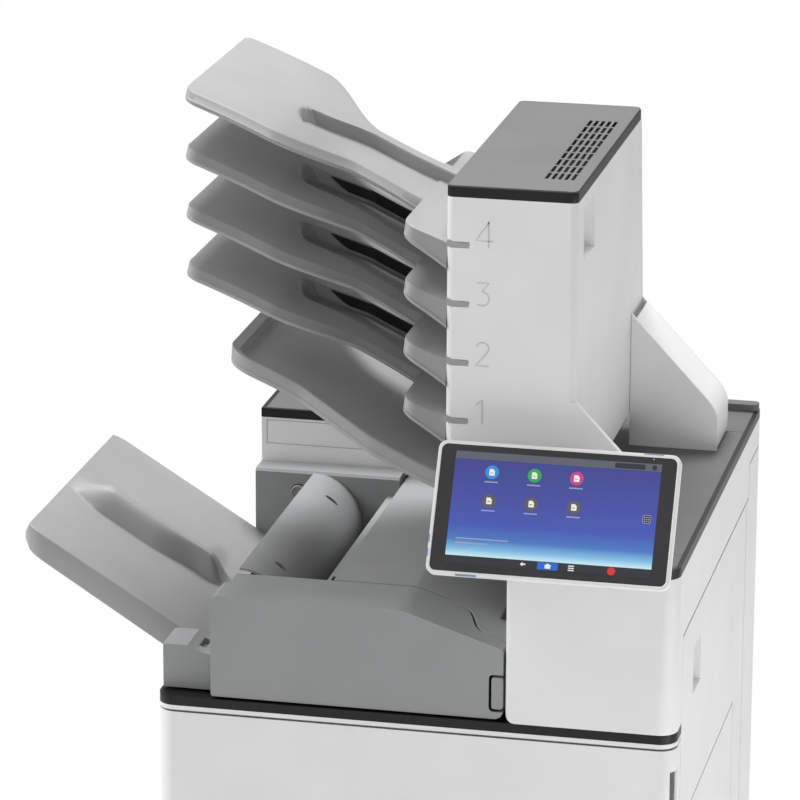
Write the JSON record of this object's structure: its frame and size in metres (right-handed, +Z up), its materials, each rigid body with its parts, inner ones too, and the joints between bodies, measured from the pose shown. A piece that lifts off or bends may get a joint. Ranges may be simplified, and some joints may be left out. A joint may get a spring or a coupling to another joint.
{
  "type": "laser printer",
  "caption": "Floor-standing laser printer with paper drawers, a stapling finisher with stack tray, a mailbox tower of output bins and a tilting touch panel",
  "frame": {"origin": "On the floor, under the middle of the box round the whole machine", "axes": "+X runs to the machine's right side, -Y is its front and +Z is up"},
  "size_m": [0.766, 0.6692, 1.1858],
  "materials": {
    "white_cover": "fine-textured moulded ABS",
    "inner_cover": "light grey moulded ABS",
    "black_trim": "black moulded ABS",
    "grey_plate": "mid grey textured ABS",
    "grey_cover": "mid grey textured ABS",
    "grey_tray": "light grey textured ABS",
    "dark_plastic": "dark grey glass-filled plastic",
    "steel_sheet": "zinc-plated sheet steel",
    "screen": "glossy touch glass",
    "drum_coat": "coated aluminium drum",
    "bottle": "natural moulded bottle",
    "fuser_sleeve": "coated fuser sleeve",
    "roller_rubber": "matt rubber"
  },
  "bodies": {
    "chassis": {"feet": "roller_rubber", "bottom_pan": "white_cover", "left_cover": "white_cover", "rear_cover": "white_cover", "right_cover": "white_cover", "front_cabinet": "white_cover", "deck": "black_trim", "inner_cover": "inner_cover", "top_band": "black_trim", "top_plate_front": "grey_plate", "top_plate_main": "grey_plate", "top_plate_rear": "grey_plate", "rear_housing": "white_cover", "engine_frame": "steel_sheet", "laser_unit": "dark_plastic", "drum_frame": "dark_plastic", "toner_bottle": "bottle", "fuser_frame": "steel_sheet", "exit_guide": "dark_plastic", "tower_floor": "dark_plastic", "tower_front": "white_cover", "tower_side": "white_cover", "tower_rear": "white_cover", "tower_wall": "inner_cover", "tower_band": "black_trim", "tower_cap": "grey_plate", "wedge_housing": "white_cover", "bin_tray_1": "grey_tray", "bin_tray_2": "grey_tray", "bin_tray_3": "grey_tray", "bin_tray_4": "grey_tray", "low_tray": "grey_tray", "bin_rails": "black_trim", "panel_arm": "dark_plastic"},
    "front_door": {"front_door": "white_cover"},
    "drawer_1": {"drawer_front_1": "white_cover", "drawer_box_1": "dark_plastic"},
    "lift_1": {"lift_plate_1": "steel_sheet"},
    "drawer_2": {"drawer_front_2": "white_cover", "drawer_box_2": "dark_plastic"},
    "lift_2": {"lift_plate_2": "steel_sheet"},
    "right_door": {"right_door": "white_cover"},
    "bypass": {"bypass_tray": "white_cover"},
    "fence_front": {"bypass_fence_front": "dark_plastic"},
    "fence_rear": {"bypass_fence_rear": "dark_plastic"},
    "panel": {"panel_housing": "white_cover", "panel_screen": "screen"},
    "finisher": {"finisher_front": "grey_cover", "finisher_body": "dark_plastic", "exit_chute": "grey_cover"},
    "lid": {"finisher_lid": "grey_cover"},
    "latch": {"finisher_latch": "grey_cover"},
    "stack": {"stack_tray": "grey_tray"},
    "jam_cover": {"jam_cover": "white_cover"},
    "drum": {"drum": "drum_coat"},
    "fuser_roller": {"fuser_roller": "fuser_sleeve"},
    "pressure_roller": {"pressure_roller": "roller_rubber"},
    "feed_roller_1": {"feed_roller_1": "roller_rubber"},
    "feed_roller_2": {"feed_roller_2": "roller_rubber"},
    "finisher_roller": {"finisher_roller": "roller_rubber"}
  },
  "joints": [
    {"name": "front_door_hinge", "type": "hinge", "parent": "chassis", "child": "front_door", "pos_m": [-0.196, -0.27537, 0.376], "axis": [0, 0, -1], "range_deg": [0, 100]},
    {"name": "drawer_1_slide", "type": "slide", "parent": "chassis", "child": "drawer_1", "axis": [0, -1, 0], "range_m": [0, 0.42]},
    {"name": "lift_1_hinge", "type": "hinge", "parent": "drawer_1", "child": "lift_1", "pos_m": [-0.074, 0.01263, 0.161], "axis": [0, -1, 0], "range_deg": [0, 9]},
    {"name": "drawer_2_slide", "type": "slide", "parent": "chassis", "child": "drawer_2", "axis": [0, -1, 0], "range_m": [0, 0.42]},
    {"name": "lift_2_hinge", "type": "hinge", "parent": "drawer_2", "child": "lift_2", "pos_m": [-0.074, 0.01263, 0.057], "axis": [0, -1, 0], "range_deg": [0, 9]},
    {"name": "right_door_hinge", "type": "hinge", "parent": "chassis", "child": "right_door", "pos_m": [0.3785, -0.00237, 0.244], "axis": [0, 1, 0], "range_deg": [0, 50]},
    {"name": "bypass_hinge", "type": "hinge", "parent": "right_door", "child": "bypass", "pos_m": [0.378, 0.00162, 0.263], "axis": [0, 1, 0], "range_deg": [0, 70]},
    {"name": "fence_front_slide", "type": "slide", "parent": "bypass", "child": "fence_front", "axis": [0, 1, 0], "range_m": [0, 0.095]},
    {"name": "fence_rear_slide", "type": "slide", "parent": "bypass", "child": "fence_rear", "axis": [0, -1, 0], "range_m": [0, 0.095]},
    {"name": "panel_tilt", "type": "hinge", "parent": "chassis", "child": "panel", "pos_m": [0.246, -0.26966, 0.7516], "axis": [1, 0, 0], "range_deg": [-15, 15]},
    {"name": "finisher_slide", "type": "slide", "parent": "chassis", "child": "finisher", "axis": [-1, 0, 0], "range_m": [0, 0.12]},
    {"name": "lid_hinge", "type": "hinge", "parent": "finisher", "child": "lid", "pos_m": [-0.013, -0.02237, 0.6315], "axis": [0, -1, 0], "range_deg": [0, 30]},
    {"name": "latch_hinge", "type": "hinge", "parent": "finisher", "child": "latch", "pos_m": [0.1778, -0.28037, 0.551], "axis": [0, 0, -1], "range_deg": [0, 12]},
    {"name": "stack_lift", "type": "slide", "parent": "finisher", "child": "stack", "axis": [0, 0, -1], "range_m": [0, 0.012]},
    {"name": "jam_cover_hinge", "type": "hinge", "parent": "chassis", "child": "jam_cover", "pos_m": [0.354, 0.19542, 0.716], "axis": [0, 1, 0], "range_deg": [0, 60]},
    {"name": "drum_spin", "type": "hinge", "parent": "chassis", "child": "drum", "pos_m": [0.266, 0.01263, 0.352], "axis": [0, 1, 0], "continuous": true},
    {"name": "fuser_spin", "type": "hinge", "parent": "chassis", "child": "fuser_roller", "pos_m": [0.276, 0.02763, 0.572], "axis": [0, 1, 0], "continuous": true},
    {"name": "pressure_spin", "type": "hinge", "parent": "chassis", "child": "pressure_roller", "pos_m": [0.3163, 0.02763, 0.572], "axis": [0, 1, 0], "continuous": true},
    {"name": "feed_1_spin", "type": "hinge", "parent": "chassis", "child": "feed_roller_1", "pos_m": [0.336, 0.01263, 0.238], "axis": [0, 1, 0], "continuous": true},
    {"name": "feed_2_spin", "type": "hinge", "parent": "chassis", "child": "feed_roller_2", "pos_m": [0.336, 0.01263, 0.134], "axis": [0, 1, 0], "continuous": true},
    {"name": "finisher_spin", "type": "hinge", "parent": "finisher", "child": "finisher_roller", "pos_m": [-0.048, -0.02237, 0.5665], "axis": [0, 1, 0], "continuous": true}
  ],
  "couplings": [
    {"joint": "fence_rear_slide", "follows": "fence_front_slide", "ratio": 1},
    {"joint": "pressure_spin", "follows": "fuser_spin", "ratio": -1}
  ]
}
